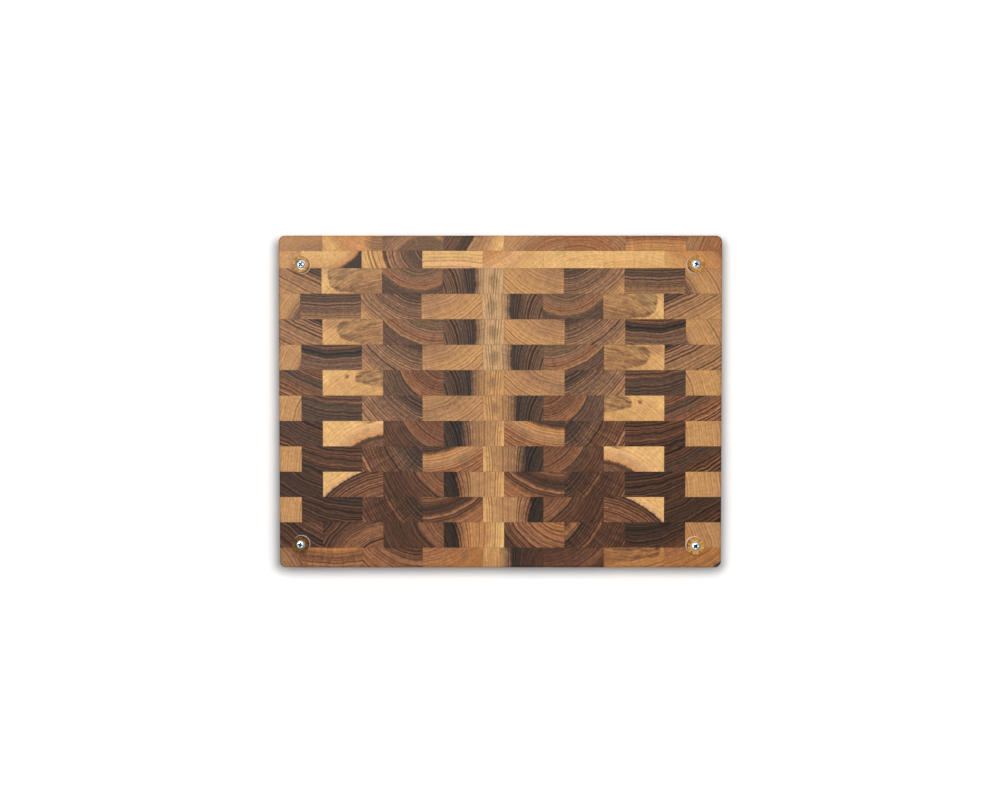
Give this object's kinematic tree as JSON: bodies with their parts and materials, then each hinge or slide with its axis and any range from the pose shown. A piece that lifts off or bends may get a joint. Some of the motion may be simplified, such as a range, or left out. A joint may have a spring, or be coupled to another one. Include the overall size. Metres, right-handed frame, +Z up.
{
  "type": "cutting board",
  "caption": "Thick end-grain walnut cutting board glued up from strips of staggered blocks, with rounded edges, standing on clear screw-on feet.",
  "frame": {"origin": "centre of the board's outline, on the surface that the feet stand on", "axes": "+X along the board's long side, +Y across the strips from strip_01 to strip_14, +Z up through the cutting face"},
  "size_m": [0.457, 0.343, 0.0478],
  "materials": {
    "walnut_mid": "oiled end grain, brown heartwood with streaks of sapwood",
    "walnut_pale": "oiled end grain, mostly pale sapwood",
    "walnut_dark": "oiled end grain, dark heartwood",
    "clear_foot": "clear, slightly amber, smooth moulded",
    "washer_steel": "dull zinc-plated",
    "screw_steel": "bright zinc-plated"
  },
  "bodies": {
    "root": {"strip_01": "walnut_mid", "strip_02": "walnut_pale", "strip_03": "walnut_mid", "strip_04": "walnut_mid", "strip_05": "walnut_mid", "strip_06": "walnut_mid", "strip_07": "walnut_mid", "strip_08": "walnut_mid", "strip_09": "walnut_dark", "strip_10": "walnut_dark", "strip_11": "walnut_dark", "strip_12": "walnut_dark", "strip_13": "walnut_dark", "strip_14": "walnut_mid", "foot_front_left": "clear_foot", "foot_front_right": "clear_foot", "foot_back_left": "clear_foot", "foot_back_right": "clear_foot", "washer_front_left": "washer_steel", "washer_front_right": "washer_steel", "washer_back_left": "washer_steel", "washer_back_right": "washer_steel", "screw_front_left": "screw_steel", "screw_front_right": "screw_steel", "screw_back_left": "screw_steel", "screw_back_right": "screw_steel"}
  },
  "joints": []
}
